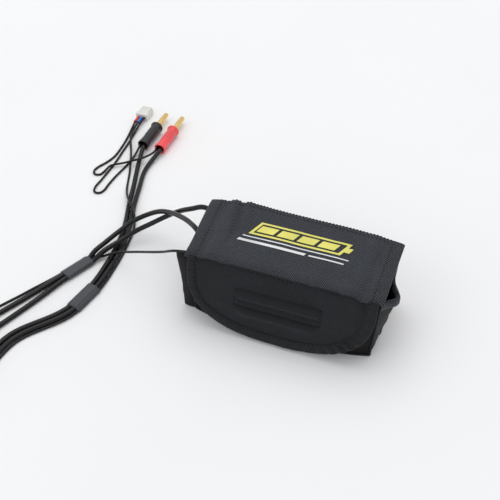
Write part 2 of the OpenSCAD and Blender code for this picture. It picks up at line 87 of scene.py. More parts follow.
def build_studio():
    area_light("key", (-0.15, 0.7, 2.3), (0, 0, 0), 2.4, 19, (1, 0.99, 0.98))
    area_light("fill", (-1.2, -1.6, 1.6), (0, 0, 0.02), 1.6, 6, (0.96, 0.98, 1))
    world = bpy.data.worlds.new("studio")
    bpy.context.scene.world = world
    world.use_nodes = True
    background = world.node_tree.nodes["Background"]
    background.inputs["Color"].default_value = (0.97, 0.98, 1, 1)
    background.inputs["Strength"].default_value = 0.76
    bpy.context.scene.view_settings.view_transform = "Standard"
    material, tree, shader = new_material("floor_paper", 0.8)
    tint(tree, shader, (0.87, 0.87, 0.87), (0.91, 0.91, 0.91), noise_height(tree, 6, 2), 0)
    mesh = bpy.data.meshes.new("floor")
    reach = 6
    corners = [(-reach, -reach, 0), (reach, -reach, 0), (reach, reach, 0), (-reach, reach, 0)]
    mesh.from_pydata(corners, [], [(0, 1, 2, 3)])
    mesh.materials.append(material)
    floor = add_object("floor", mesh)


# ---------------------------------------------------------------- material tools

def feed(tree, node, inputs):
    """Sets inputs by name, and links those whose value is another node's output."""
    for name, value in inputs.items():
        if isinstance(value, bpy.types.NodeSocket):
            tree.links.new(value, node.inputs[name])
        else:
            node.inputs[name].default_value = value


def add_node(tree, kind, inputs, **settings):
    node = tree.nodes.new("ShaderNode" + kind)
    for name, value in settings.items():
        setattr(node, name, value)
    feed(tree, node, inputs)
    return node


def new_material(name, roughness, metallic=0.0, specular=0.5):
    material = bpy.data.materials.new(name)
    material.use_nodes = True
    tree = material.node_tree
    shader = tree.nodes["Principled BSDF"]
    feed(tree, shader, {"Roughness": roughness, "Metallic": metallic,
                        "Specular IOR Level": specular})
    return material, tree, shader


def position(tree, source, scale=(1, 1, 1), angle=0.0):
    """Texture coordinates in metres: the piece's own cloth map, or its place in the object."""
    if source == "cloth":
        out = add_node(tree, "UVMap", {}, uv_map="cloth").outputs["UV"]
    else:
        out = add_node(tree, "TexCoord", {}).outputs["Object"]
    turn = (0, 0, math.radians(angle))
    mapping = add_node(tree, "Mapping", {"Vector": out, "Scale": scale, "Rotation": turn})
    return mapping.outputs["Vector"]


def math_node(tree, operation, first, second, clamp=False):
    node = add_node(tree, "Math", {0: first, 1: second}, operation=operation, use_clamp=clamp)
    return node.outputs[0]


def noise_height(tree, scale, detail):
    inputs = {"Scale": scale, "Detail": detail, "Vector": position(tree, "object")}
    return add_node(tree, "TexNoise", inputs).outputs["Fac"]


def ridges(tree, vector, axis):
    """Rounded ridges one unit apart along an axis: 0 in the valleys and 1 on the crests."""
    inputs = {"Scale": 2 * math.pi / 20, "Vector": vector}
    return add_node(tree, "TexWave", inputs, bands_direction=axis).outputs["Fac"]


def weave_height(tree, pitch, angle):
    """Over-and-under weave: crossing yarns, each pitch metres wide."""
    vector = position(tree, "cloth", (1 / pitch, 1 / pitch, 1 / pitch), angle)
    checker = add_node(tree, "TexChecker", {"Scale": 1, "Vector": vector})
    inputs = {"Factor": checker.outputs["Fac"], "A": ridges(tree, vector, "X"),
              "B": ridges(tree, vector, "Y")}
    return add_node(tree, "Mix", inputs).outputs["Result"]


def tint(tree, shader, dark, light, height, depth, wear=None):
    """Colour from dark in the hollows to light on the crests, with bump of that depth.
    On woven, ribbed and pile cloth the dark is painted shade between the yarns, ribs or tufts and
    the light is painted highlight on their crests; on grain noise it is the material's own speckle.
    """
    inputs = {"Factor": height, "A": (*dark, 1), "B": (*light, 1)}
    colour = add_node(tree, "Mix", inputs, data_type="RGBA").outputs["Result"]
    if wear is not None:
        ramp = add_node(tree, "ValToRGB", {"Fac": wear})
        for element, spot, grey in zip(ramp.color_ramp.elements, (0.3, 0.7), (0.78, 1)):
            element.position = spot
            element.color = (grey, grey, grey, 1)
        inputs = {"Factor": 1, "A": colour, "B": ramp.outputs["Color"]}
        faded = add_node(tree, "Mix", inputs, data_type="RGBA", blend_type="MULTIPLY")
        colour = faded.outputs["Result"]
    feed(tree, shader, {"Base Color": colour})
    if depth:
        relief = add_node(tree, "Bump", {"Strength": 1, "Distance": depth, "Height": height})
        feed(tree, shader, {"Normal": relief.outputs["Normal"]})


def woven(name, dark, light, pitch, angle=45, depth=0.00022, roughness=0.62, sheen=0.16):
    material, tree, shader = new_material(name, roughness, specular=0.25)
    feed(tree, shader, {"Sheen Weight": sheen, "Sheen Roughness": 0.45,
                        "Sheen Tint": (0.80, 0.88, 1, 1)})
    # The yarn colour is painted shade in the hollows between the yarns and painted highlight on
    # their crests.
    weave = math_node(tree, "POWER", weave_height(tree, pitch, angle), 3.2)
    fuzz = math_node(tree, "MULTIPLY", noise_height(tree, 1300, 3), 1.7)
    height = math_node(tree, "MULTIPLY", weave, math_node(tree, "ADD", 0.1, fuzz), clamp=True)
    tint(tree, shader, dark, light, height, depth, noise_height(tree, 55, 3))
    return material


def ribbed_tape(name, dark, light, pitch):
    """Grosgrain binding: ribs across the tape and a fine thread along it, with painted shade
    between the ribs and painted highlight on them.
    """
    material, tree, shader = new_material(name, 0.66, specular=0.22)
    feed(tree, shader, {"Sheen Weight": 0.04, "Sheen Tint": (0.80, 0.86, 1, 1)})
    vector = position(tree, "cloth", (1 / pitch, 2.2 / pitch, 1))
    ribs = math_node(tree, "MULTIPLY", ridges(tree, vector, "X"), 0.75)
    fine = math_node(tree, "MULTIPLY", ridges(tree, vector, "Y"), 0.25)
    height = math_node(tree, "ADD", ribs, fine)
    tint(tree, shader, dark, light, height, 0.0002, noise_height(tree, 70, 3))
    return material


def speckled(name, dark, light, roughness, scale=700, depth=0.00003, metallic=0.0,
             specular=0.5, coat=0.0):
    """Moulded plastic, rubber, ink or metal with a fine grain and slight colour changes."""
    material, tree, shader = new_material(name, roughness, metallic, specular)
    feed(tree, shader, {"Coat Weight": coat})
    tint(tree, shader, dark, light, noise_height(tree, scale, 3), depth,
         noise_height(tree, 40, 2))
    return material


def plated(name, dark, light, roughness):
    """Plated or tinned metal: a very fine grain."""
    material, tree, shader = new_material(name, roughness, 1.0)
    tint(tree, shader, dark, light, noise_height(tree, 900, 2), 0.00001)
    return material


def pile(name, dark, light, pitch):
    """Hook or loop pile: dense small tufts, with painted shade between them and painted highlight
    on their tops.
    """
    material, tree, shader = new_material(name, 0.85, specular=0.3)
    feed(tree, shader, {"Sheen Weight": 0.5})
    inputs = {"Scale": 1 / pitch, "Vector": position(tree, "cloth")}
    cells = add_node(tree, "TexVoronoi", inputs)
    height = math_node(tree, "SUBTRACT", 1, cells.outputs["Distance"], clamp=True)
    tint(tree, shader, dark, light, height, 0.0004, noise_height(tree, 90, 3))
    return material


def striped_label(name):
    """Glossy film: dark blue with a pale band and a thin orange line, no lettering."""
    material, tree, shader = new_material(name, 0.25)
    place = add_node(tree, "SeparateXYZ", {"Vector": position(tree, "object")}).outputs
    slant = math_node(tree, "ADD", place["X"], math_node(tree, "MULTIPLY", place["Y"], 0.5))
    share = math_node(tree, "MULTIPLY", math_node(tree, "ADD", slant, 0.045), 10, clamp=True)
    ramp = add_node(tree, "ValToRGB", {"Fac": share})
    ramp.color_ramp.interpolation = "CONSTANT"
    steps = [(0, (0.02, 0.06, 0.2)), (0.30, (0.75, 0.78, 0.8)), (0.42, (0.02, 0.06, 0.2)),
             (0.45, (0.9, 0.3, 0.03)), (0.475, (0.015, 0.04, 0.14)), (0.8, (0.03, 0.1, 0.3))]
    elements = ramp.color_ramp.elements
    elements[1].position = steps[1][0]
    for spot, _ in steps[2:]:
        elements.new(spot)
    for element, (_, colour) in zip(elements, steps):
        element.color = (*colour, 1)
    feed(tree, shader, {"Coat Weight": 0.6, "Base Color": ramp.outputs["Color"]})
    return material


# The lid's nylon is the bag's black cloth as lit from above. The flap's nylon is the same cloth
# with painted shade for its front face, and the nylon of the front panel and both gussets is the
# same cloth with deeper painted shade for the faces turned away from the light.
NYLON = woven("black_nylon", (0.0008, 0.0009, 0.0013), (0.105, 0.117, 0.145), 0.00105)
SHADED_FLAP_NYLON = woven("flap_nylon_painted_shade", (0.0008, 0.0008, 0.0011), (0.038, 0.041, 0.052), 0.00105,
                   sheen=0.04)
HEM_NYLON = woven("hem_nylon", (0.0008, 0.0009, 0.0012), (0.084, 0.093, 0.112), 0.00135, 30)
SHADED_WALL_NYLON = woven("wall_nylon_painted_shade", (0.0006, 0.0006, 0.0008), (0.012, 0.0125, 0.014), 0.0014,
                     sheen=0.0)
BINDING = ribbed_tape("binding_tape", (0.0015, 0.0015, 0.002), (0.026, 0.027, 0.031), 0.0014)
THREAD = speckled("black_thread", (0.002, 0.002, 0.003), (0.010, 0.011, 0.013), 0.6, 3000)
LINING = woven("silver_lining", (0.30, 0.31, 0.33), (0.66, 0.67, 0.70), 0.0006, 0,
               0.00008, 0.32, 0.1)
HOOKS = pile("hook_pile", (0.004, 0.004, 0.005), (0.035, 0.035, 0.038), 0.0011)
LOOPS = pile("loop_pile", (0.006, 0.006, 0.007), (0.05, 0.05, 0.054), 0.0008)
SILICONE = speckled("silicone_black", (0.003, 0.003, 0.004), (0.008, 0.0085, 0.010), 0.27, 900,
                    0.00001, specular=0.32)
SHRINK = speckled("heat_shrink", (0.036, 0.040, 0.048), (0.062, 0.067, 0.078), 0.5, 500, 0.00004)
RED_PLASTIC = speckled("red_plastic", (0.92, 0.05, 0.06), (1.0, 0.09, 0.10), 0.34, 500,
                       0.00001, coat=0.3)
BLACK_PLASTIC = speckled("black_plastic", (0.010, 0.010, 0.012), (0.022, 0.022, 0.026), 0.38,
                         900, 0.00002)
WHITE_PLASTIC = speckled("white_plastic", (0.72, 0.71, 0.66), (0.82, 0.81, 0.77), 0.4, 500,
                         0.00001)
RED_SLEEVE = speckled("red_sleeve", (0.65, 0.02, 0.02), (0.85, 0.05, 0.04), 0.45)
BLUE_SLEEVE = speckled("blue_sleeve", (0.03, 0.16, 0.62), (0.05, 0.25, 0.8), 0.45)
GOLD = plated("gold_plate", (0.75, 0.50, 0.18), (0.95, 0.70, 0.32), 0.22)
STEEL = plated("tinned_metal", (0.45, 0.45, 0.46), (0.7, 0.7, 0.7), 0.35)
POUCH = speckled("pouch_foil", (0.52, 0.53, 0.55), (0.68, 0.69, 0.71), 0.35, 200, 0.00008, 0.8)
FOAM = speckled("foam", (0.03, 0.03, 0.035), (0.09, 0.09, 0.1), 0.9, 1500, 0.0003)
CIRCUIT = speckled("circuit_board", (0.01, 0.09, 0.03), (0.02, 0.16, 0.06), 0.4, 500)
YELLOW_INK = speckled("yellow_ink", (0.72, 0.66, 0.08), (0.90, 0.86, 0.22), 0.5, 1800, 0.00005)
WHITE_INK = speckled("white_ink", (0.70, 0.70, 0.70), (0.88, 0.88, 0.88), 0.5, 1800, 0.00005)
LABEL = striped_label("pack_label_film")


# ---------------------------------------------------------------- mesh tools (millimetres)

def unit(vector):
    return vector / np.linalg.norm(vector)


def heading(route, i):
    """Direction of a route of points at its point i."""
    return unit(route[min(i + 1, len(route) - 1)] - route[max(i - 1, 0)])


def walked(path):
    """How far along a path each of its points lies."""
    return np.concatenate([[0], np.cumsum(np.linalg.norm(np.diff(path, axis=0), axis=1))])


def values_at(spots, walk, values):
    """Rows of values, one for each point of a walk, read at other spots along it."""
    return np.stack([np.interp(spots, walk, column) for column in values.T], axis=-1)


def even_points(path, shares):
    """Points at the given shares of the way along a path."""
    path = np.array(path, float)
    walk = walked(path)
    return values_at(shares * walk[-1], walk, path)


def angles(count):
    return [2 * math.pi * k / count for k in range(count)]


def ring_round(centre, side, up, count):
    """Ring of points; side and up reach from its centre to its rim."""
    return [tuple(centre + math.cos(a) * side + math.sin(a) * up) for a in angles(count)]


def turned_ring(axis, y, reaches):
    """Ring across a piece's own Y axis, with its radius at even steps round it."""
    return [(axis[0] + reach * math.cos(a), y, axis[2] + reach * math.sin(a))
            for reach, a in zip(reaches, angles(len(reaches)))]


def surface(point_at, across, along):
    return np.array([[point_at(a, b) for b in along] for a in across])


def waves(x, y, seed, size):
    """Smooth wrinkle noise between -1 and 1."""
    return noise.noise(Vector((x / size, y / size, seed * 7.3)))


def bump(value, middle, width):
    return math.exp(-((value - middle) / width) ** 2)


def step(value, start, end):
    """0 before start, 1 after end, smooth in between; works in either direction."""
    share = min(1.0, max(0.0, (value - start) / (end - start)))
    return share * share * (3 - 2 * share)


def finish_mesh(name, points, faces, cloth_map, material, slot, body=None, replaces=False):
    """Makes the piece; points in millimetres, cloth_map one (u, v) in millimetres per corner.
    replaces is for a piece that takes the place of the CAD node its slot is named after."""
    mesh = bpy.data.meshes.new(name)
    mesh.from_pydata([tuple(MM * c for c in p) for p in points], [], faces)
    layer = mesh.uv_layers.new(name="cloth")
    layer.data.foreach_set("uv", [MM * c for corner in cloth_map for c in corner])
    mesh.materials.append(material)
    mesh.shade_smooth()
    mesh.update()
    piece = add_object(name, mesh)
    if replaces:
        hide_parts(slot)
    if body:
        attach(piece, body)
    return piece


def flat_map(grid):
    """Distances along the two directions of the grid, each a mean over the other direction."""
    u, v = (np.linalg.norm(np.diff(grid, axis=n), axis=2).mean(axis=1 - n) for n in (0, 1))
    u, v = (np.concatenate([[0], np.cumsum(gaps)]) for gaps in (u, v))
    return np.stack(np.meshgrid(u, v, indexing="ij"), axis=2)


def shell(name, grid, thickness, material, slot, body=None, flat=None, replaces=True):
    """A closed cloth layer. grid holds the outer face's points, and flat their place on the
    uncut cloth; the inner face lies thickness behind, and the rim between them is rounded."""
    rows, columns = grid.shape[:2]
    flat = flat_map(grid) if flat is None else flat
    normal = np.cross(np.gradient(grid, axis=0), np.gradient(grid, axis=1))
    size = np.linalg.norm(normal, axis=2, keepdims=True)
    inner = grid - normal / np.maximum(size, 1e-9) * thickness
    points = [*grid.reshape(-1, 3), *inner.reshape(-1, 3)]
    spread = [*flat.reshape(-1, 2)] * 2
    half = rows * columns
    faces = []
    for i in range(rows - 1):
        for a in range(i * columns, (i + 1) * columns - 1):
            b = a + columns
            faces.append((a + 1, b + 1, b, a))
            faces.append((half + b, half + b + 1, half + a + 1, half + a))
    edge = [(i, 0, i, 1) for i in range(rows)]
    edge += [(rows - 1, j, rows - 2, j) for j in range(1, columns)]
    edge += [(i, columns - 1, i, columns - 2) for i in range(rows - 2, -1, -1)]
    edge += [(0, j, 1, j) for j in range(columns - 2, 0, -1)]
    first = len(points)
    for k, (i, j, near_i, near_j) in enumerate(edge):
        way = grid[i, j] - grid[near_i, near_j]
        way = way / max(np.linalg.norm(way), 1e-9)
        points.append((grid[i, j] + inner[i, j]) / 2 + way * thickness * 0.4)
        spread.append(flat[i, j])
        m = (k + 1) % len(edge)
        a = i * columns + j
        b = edge[m][0] * columns + edge[m][1]
        faces.append((b, first + m, first + k, a))
        faces.append((first + m, half + b, half + a, first + k))
    corners = [spread[v] for f in faces for v in f]
    return finish_mesh(name, points, faces, corners, material, slot, body, replaces)


def sweep(rings, closed_ends):
    """Joins rings of points, each a list of the same length, into tube faces."""
    sides = len(rings[0])
    points = [p for ring in rings for p in ring]
    faces = []
    spread = []
    walk = walked([ring[0] for ring in rings])
    for i in range(len(rings) - 1):
        a = i * sides
        for k in range(sides):
            m = (k + 1) % sides
            faces.append((a + k, a + m, a + sides + m, a + sides + k))
            spread += [(walk[i], k), (walk[i], k + 1), (walk[i + 1], k + 1), (walk[i + 1], k)]
    if closed_ends:
        faces += [tuple(reversed(range(sides))), tuple(range(len(points) - sides, len(points)))]
        spread += [(0, 0)] * 2 * sides
    return points, faces, spread


def tubes(name, ring_sets, material, slot, body=None, turned=False, replaces=False,
          closed_ends=True):
    """A piece made of tubes, each a list of rings. turned flips their faces."""
    points = []
    faces = []
    spread = []
    for rings in ring_sets:
        new_points, new_faces, new_spread = sweep(rings, closed_ends)
        base = len(points)
        points += new_points
        faces += [tuple(base + v for v in (reversed(f) if turned else f)) for f in new_faces]
        spread += new_spread
    return finish_mesh(name, points, faces, spread, material, slot, body, replaces)


def threads(name, runs, body, slot, length=2.1, gap=0.75, radius=0.24):
    """Rows of stitches. Each run is a list of (point, normal); a stitch dips at both ends."""
    stitches = []
    for run in runs:
        places = np.array([p for p, _ in run], float)
        ups = np.array([n for _, n in run], float)
        walk = walked(places)
        count = max(1, int(walk[-1] / (length + gap)))
        pace = walk[-1] / count
        for i in range(count):
            rings = []
            for share, lift in ((0.0, -0.5), (0.16, 0.35), (0.5, 0.75), (0.84, 0.35), (1, -0.5)):
                at = (i + 0.5) * pace + (share - 0.5) * length
                up = unit(values_at(at, walk, ups))
                way = values_at(at + 0.3, walk, places) - values_at(at - 0.3, walk, places)
                side = np.cross(up, way / max(np.linalg.norm(way), 1e-9))
                width = radius * (0.55 if share in (0.0, 1) else 1)
                middle = values_at(at, walk, places) + up * lift * radius
                rings.append(ring_round(middle, width * side, width * up, 6))
            stitches.append(rings)
    return tubes(name, stitches, THREAD, slot, body)


# ---------------------------------------------------------------- leads

# The same routes as the frame's leads, in millimetres: (x, y, height), and in the bundle a
# fourth value for how far apart the strands lie.
BUNDLE_ROUTE = [
    (-142.8, -11.4, 0.6, 1), (-147, -21, 0.6, 1), (-151.2, -30.6, 0.6, 1),
    (-161, -54, 0, 1.7), (-181, -103, 0, 2.6), (-187.5, -129, 0, 2), (-184, -151, 0, 1.6),
    (-170.5, -160, 0, 1.4), (-157, -152.5, 0, 1.3), (-153, -135, 0, 1.2), (-160, -112, 0, 1.1),
    (-158, -94, 0, 1.1), (-133, -54.6, 0.6, 1), (-131, -44, 0.6, 1), (-129, -33.4, 0.6, 1),
    (-129, -12, 0, 1), (-131, 11, 0, 1), (-136, 33, 0, 1),
]
POSITIVE_FROM_PACK = [
    (-43.2, -12, 33), (-47.4, -12, 33.5), (-51.6, -11.2, 36.2), (-56, -9.2, 40.6),
    (-64, -2.5, 45.5), (-75, 8, 42), (-86, 17, 36.5), (-97, 24.5, 30.5), (-108, 29.5, 24),
    (-118, 31, 17), (-127.5, 28.5, 10.8), (-134.5, 18.5, 7.2), (-139.5, 5, 5.8), (-143, -5, 4.6),
]
POSITIVE_TO_PLUG = [
    (-140.3, 52, 1.8), (-146, 73, 1.8), (-151, 94, 1.9), (-150.4, 109, 3.2), (-149, 118, 5),
    (-149, 124, 5),
]
NEGATIVE_FROM_PACK = [
    (-43.2, 12, 33), (-47.4, 12.2, 33.5), (-51.6, 13.2, 36.2), (-56, 15.4, 40.6),
    (-62, 19.2, 44.8), (-70, 22.5, 44.5), (-81, 24.5, 38.5), (-92, 27.5, 30.5),
    (-102, 28.2, 22.5), (-112, 25.5, 15.5), (-122, 19, 10.4), (-130, 8.5, 7), (-136.5, -3, 5.7),
]
NEGATIVE_TO_PLUG = [
    (-144, 50.5, 1.8), (-150, 70, 1.8), (-156.5, 90, 1.9), (-161.6, 108, 3.2), (-163.4, 118, 5),
    (-163.4, 124, 5),
]
BALANCE_FROM_PACK = [
    (-42, 0, 33), (-46.2, -1.6, 34.2), (-50, -10, 39.5), (-54.5, -18.4, 45), (-61, -23.2, 47.5),
    (-69, -24.7, 47.2), (-82, -19.5, 37.5), (-112, -7.2, 16.7), (-124, -3.8, 9.4),
    (-132, -4, 5), (-138.5, -5.2, 1.6), (-145.6, -6.6, 1),
]
BALANCE_TO_CONNECTOR = [
    (-131.2, 34, 1.8), (-136.5, 43.8, 4.8), (-145, 53, 5.6), (-152, 63.5, 2), (-162.5, 90, 1.2),
    (-166.6, 100.3, 3), (-173, 113.5, 1.6), (-179.4, 126.3, 3.1), (-183, 139, 2),
    (-183.5, 148, 3), (-183.5, 157, 3),
]
POSITIVE_TAP = [
    (-186, 157, 3), (-186, 148, 3), (-185, 141, 2.4), (-183.2, 127, 1), (-181.9, 113, 0.9),
    (-181.9, 101, 0.9), (-184.5, 92, 0.9), (-187.4, 85.5, 0.9), (-188.3, 80.6, 0.9),
    (-187.2, 77.6, 0.9), (-184.5, 76.3, 0.9), (-181.8, 77.6, 0.9), (-180.6, 80.8, 1.1),
    (-177.6, 88.4, 2.9), (-173.5, 92.3, 2.6), (-168.6, 95, 3.3), (-164.3, 97, 4.6),
    (-159.3, 100, 5.6), (-155, 105, 5.8), (-152.6, 111.5, 5.3), (-152.1, 118, 5),
    (-152.1, 123, 5),
]
NEGATIVE_TAP = [
    (-181, 157, 3), (-181, 148, 3), (-180.7, 140, 2), (-179.8, 127, 0.9), (-178.7, 112, 0.9),
    (-177.8, 99, 0.9), (-177.5, 86, 0.9), (-177.8, 72, 0.9), (-177.8, 61, 0.9),
    (-176.6, 57.9, 0.9), (-174, 56.7, 0.9), (-171.4, 57.9, 0.9), (-170.2, 61, 0.9),
    (-170.1, 68, 0.9), (-169.6, 78, 0.9), (-168, 92, 0.9), (-167.1, 103, 1), (-166.7, 111, 2.8),
    (-166.6, 118, 5), (-166.6, 123, 5),
]
POWER_SPACING = 1.9
SENSE_SPACING = 4.65
POWER_D = 3.5
SENSE_D = 1.7


def strand(side, radius):
    """One strand of the bundle, side millimetres to the right of the shared route."""
    places = [np.array(p[:2]) for p in BUNDLE_ROUTE]
    found = []
    for i, (x, y, lift, spread) in enumerate(BUNDLE_ROUTE):
        way = heading(places, i) * spread
        found.append((x + way[1] * side, y - way[0] * side, lift + radius + 0.05))
    return found


def smooth_route(route, pieces):
    """Points on the smooth curve through the route, as the frame's leads follow it."""
    nodes = [np.array(p, float) for p in route]
    gaps = [b - a for a, b in zip(nodes, nodes[1:])]
    reaches = [np.linalg.norm(gap) for gap in gaps]
    ways = [unit(gaps[0])]
    for i in range(1, len(gaps)):
        mixed = unit(gaps[i - 1]) * reaches[i] + unit(gaps[i]) * reaches[i - 1]
        ways.append(mixed / (reaches[i - 1] + reaches[i]))
    ways.append(unit(gaps[-1]))
    found = []
    for i, reach in enumerate(reaches):
        for t in np.arange(pieces) / pieces:
            found.append(nodes[i] * (1 + t * t * (2 * t - 3)) + ways[i] * reach * t * (1 - t) ** 2
                         + nodes[i + 1] * t * t * (3 - 2 * t)
                         - ways[i + 1] * reach * t * t * (1 - t))
    found.append(nodes[-1])
    return found


def build_lead(name, route, diameter):
    centres = smooth_route(route, 12)
    rings = []
    for i, centre in enumerate(centres):
        way = heading(centres, i)
        side = unit(np.cross((0, 0, 1), way))
        top = np.cross(way, side)
        rings.append(ring_round(centre, diameter / 2 * side, diameter / 2 * top, 16))
    piece = tubes(name + "_cable", [rings], SILICONE, name, "bag", turned=True, replaces=True)


# ---------------------------------------------------------------- sleeves, plugs, connector

def cross2(a, b, c):
    return (b[0] - a[0]) * (c[1] - a[1]) - (b[1] - a[1]) * (c[0] - a[0])


def convex_outline(points, count):
    """Even points round the convex outline of a set of points."""
    ordered = sorted(set(points))

    def chain(run):
        kept = []
        for p in run:
            while len(kept) > 1 and cross2(kept[-2], kept[-1], p) <= 0:
                kept.pop()
            kept.append(p)
        return kept[:-1]

    hull = chain(ordered) + chain(ordered[::-1])
    return even_points(hull + hull[:1], np.arange(count) / count)


def build_sleeve(name, start, end):
    """Heat-shrink round the three strands between two points of the shared route."""
    first, last = (np.array(BUNDLE_ROUTE[i][:3], float) for i in (start, end))
    way = unit(last - first)
    right = np.array((way[1], -way[0], 0))
    wall = 0.55
    outline = []
    for offset, radius in ((-POWER_SPACING, POWER_D / 2), (POWER_SPACING, POWER_D / 2),
                           (SENSE_SPACING, SENSE_D / 2)):
        reach = radius + wall
        outline += [(offset + reach * math.cos(a), radius + reach * math.sin(a))
                    for a in angles(24)]
    hull = convex_outline(outline, 40)
    middle = np.mean(hull, axis=0)
    stations = [(-0.02, 0.90), (0.0, 0.985), (0.03, 1.0)]
    stations += [(0.1 * i, 1.0 + 0.012 * math.sin(i * 2.1)) for i in range(1, 10)]
    stations += [(0.97, 1.0), (1.0, 0.985), (1.02, 0.90)]
    rings = []
    for share, size in stations:
        centre = first + (last - first) * share
        ring = []
        for place in hull:
            x, z = middle + (place - middle) * size
            dip = 0.16 * (bump(x, 0, 0.7) + bump(x, 3.7, 0.5)) * (place[1] > middle[1])
            ring.append(tuple(centre + right * x + np.array((0, 0, z - dip + 0.05))))
        rings.append(ring)
    return tubes(name + "_skin", [rings], SHRINK, name, "bag", replaces=True)


def own_axis(node):
    """A CAD node's centre, the Y of its front end, and its length and half its width."""
    low, high = (np.array(corner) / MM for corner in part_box(node))
    return (low + high) / 2, high[1], high[1] - low[1], (high[0] - low[0]) / 2


def build_plug_grip(name, colour):
    """Moulded grip: round flange, barrel with lengthwise ribs, flared and slotted tail."""
    axis, front, length, flange = own_axis(name)
    barrel = 3.9
    profile = [
        (0, 2.35), (0, flange - 0.5), (0.15, flange - 0.15), (0.45, flange), (1.2, flange),
        (1.5, flange - 0.15), (1.75, flange - 0.6), (2.3, barrel + 0.5), (3.2, barrel + 0.25),
        (4.2, barrel + 0.1),
    ]
    profile += [(4.2 + 0.8 * i, barrel) for i in range(1, 17)]
    profile += [(18.0, barrel + 0.05), (20, barrel + 0.12), (22.5, barrel + 0.3),
                (25, barrel + 0.5), (length - 0.3, barrel + 0.62), (length, barrel + 0.4),
                (length, 3.5), (length - 3, 3.42), (length - 8, 3.4)]
    rings = []
    for along, radius in profile:
        ribbed = step(along, 4.4, 5.4) * step(along, 17.5, 16.5) * (radius > 3.6)
        slotted = step(along, length - 7, length - 5.5) * (radius > 3.6)
        reaches = [radius + 0.28 * ribbed * abs(math.sin(6 * a)) ** 0.7
                   - 0.55 * slotted * max(0, math.cos(4 * a)) ** 12 for a in angles(72)]
        rings.append(turned_ring(axis, front - along, reaches))
    return tubes(name + "_moulding", [rings], colour, name, "bag", replaces=True,
                 closed_ends=False)


def build_spring_basket(name, pin):
    """Bulged contact springs round the front of a banana pin: eight leaves between two rings."""
    axis, tip, _, _ = own_axis(pin)
    rings = []
    for share in [i / 24 for i in range(25)]:
        swell = math.sin(math.pi * share)
        reaches = [2.03 + 0.22 * swell
                   * (1 - max(0, math.cos(8 * a)) ** 6 * min(1, 6 * swell)) for a in angles(64)]
        rings.append(turned_ring(axis, tip - 2.5 - 13 * share, reaches))
    return tubes(name, [rings], GOLD, pin, "bag", closed_ends=False)


# ---------------------------------------------------------------- lid and flap surfaces

HALF = 62.5
LID_REST = 51.2
FOLD_Y, FOLD_Z = -26.7, 49.9
LEAN = math.radians(11.4)
DOWN = np.array((0, -math.sin(LEAN), -math.cos(LEAN)))
OUT = np.array((0, -math.cos(LEAN), math.sin(LEAN)))
FLAP_DROP = 49.5
FLAP_HALF = 60.0
FOLD_TOP = -3.4
FOLD_END = 5.0
OUTER = 2.7
BAND = 6.6
LID_BACK, LID_FRONT = 24.8, -21.5
# Shares of the lid's walk where the back panel's cloth, the bend and the level top end.
BACK_END, BEND_END, TOP_END = 0.08, 0.14, 0.86
STRIP_HALF, STRIP_START, STRIP_END = 27, 14.6, 26
WALL_FOOT, WALL_TOP = 0.5, 46.2
LEFT_COLUMNS = 96


def lid_height(x, y):
    """Height of the lid's upper face: a soft crown with a few creases beside the hems."""
    back = (y + 26) / 51
    across = 1 - min(1.0, abs(x) / HALF) ** 3
    height = LID_REST + across * (0.9 + 2.6 * back)
    height += 1.3 * bump(x, -40, 15) * bump(y, 25, 12)
    height -= 0.9 * step(x, -47, -60) * step(y, 24, 10)
    height -= 1.0 * bump(x, -62, 7) * bump(y, 25, 9)
    height += 0.9 * bump(x + 0.10 * y, -44.5, 2.6) * step(y, -20, -4)
    height -= 1.1 * bump(x + 0.12 * y, -40.0, 2.2) * step(y, -16, 2)
    height += 0.7 * bump(x + 0.14 * y, -35.5, 2.6) * step(y, -14, 6)
    height -= 0.8 * bump(x, -52.0, 2.0)
    height -= 1.1 * bump(x - 0.05 * y, 51.0, 2.8) * step(y, 26, 6)
    height += 0.45 * bump(x - 0.05 * y, 44.0, 3.5)
    height -= 1.2 * bump(x, 51, 4.5) * bump(y, -25, 5)
    height += 0.42 * waves(x, 1.4 * y, 1, 24) + 0.14 * waves(x, y, 2, 8)
    return height


def fold_curve(x, share):
    """Soft fold at the front of the lid, from the top (0) down to the flap's plane (1)."""
    first = np.array((x, LID_FRONT, lid_height(x, LID_FRONT)))
    plane = np.array((x, FOLD_Y, FOLD_Z)) + OUTER * OUT
    last = plane + FOLD_END * DOWN
    reach = (first[2] - plane[2]) / -DOWN[2]
    corner = plane - reach * DOWN
    return first * (1 - share) ** 2 + 2 * corner * share * (1 - share) + last * share ** 2


def splay(x, y):
    """How far the lid's cloth is pulled sideways: its left edge leans out towards the back."""
    return -3.3 * step(x, -35, -HALF) * step(y, -26, 26)


def lid_point(x, walk):
    """Point on the lid's outer face. walk: 0 on the back panel, 1 at the fold's seam."""
    here = straight_lid_point(x, walk)
    here[0] += splay(x, here[1])
    return here


def straight_lid_point(x, walk):
    rim = 1.4
    foot = 44.6
    top = lid_height(x, LID_BACK)
    if walk < BACK_END:
        return np.array((x, LID_BACK + rim, foot + (top - rim - foot) * walk / BACK_END))
    if walk < BEND_END:
        angle = math.pi / 2 * (walk - BACK_END) / (BEND_END - BACK_END)
        return np.array((x, LID_BACK + rim * math.cos(angle), top - rim + rim * math.sin(angle)))
    if walk < TOP_END:
        y = LID_BACK - (LID_BACK - LID_FRONT) * (walk - BEND_END) / (TOP_END - BEND_END)
        return np.array((x, y, lid_height(x, y)))
    return fold_curve(x, 0.56 * (walk - TOP_END) / (1 - TOP_END))


def lid_frame(x, walk, lift=0.0):
    """Point lifted off the lid's outer face, and the face's normal."""
    here = lid_point(x, walk)
    along = lid_point(x, min(walk + 0.004, 1)) - lid_point(x, max(walk - 0.004, 0))
    across = lid_point(x + 0.4, walk) - lid_point(x - 0.4, walk)
    normal = unit(np.cross(along, across))
    return here + normal * lift, normal


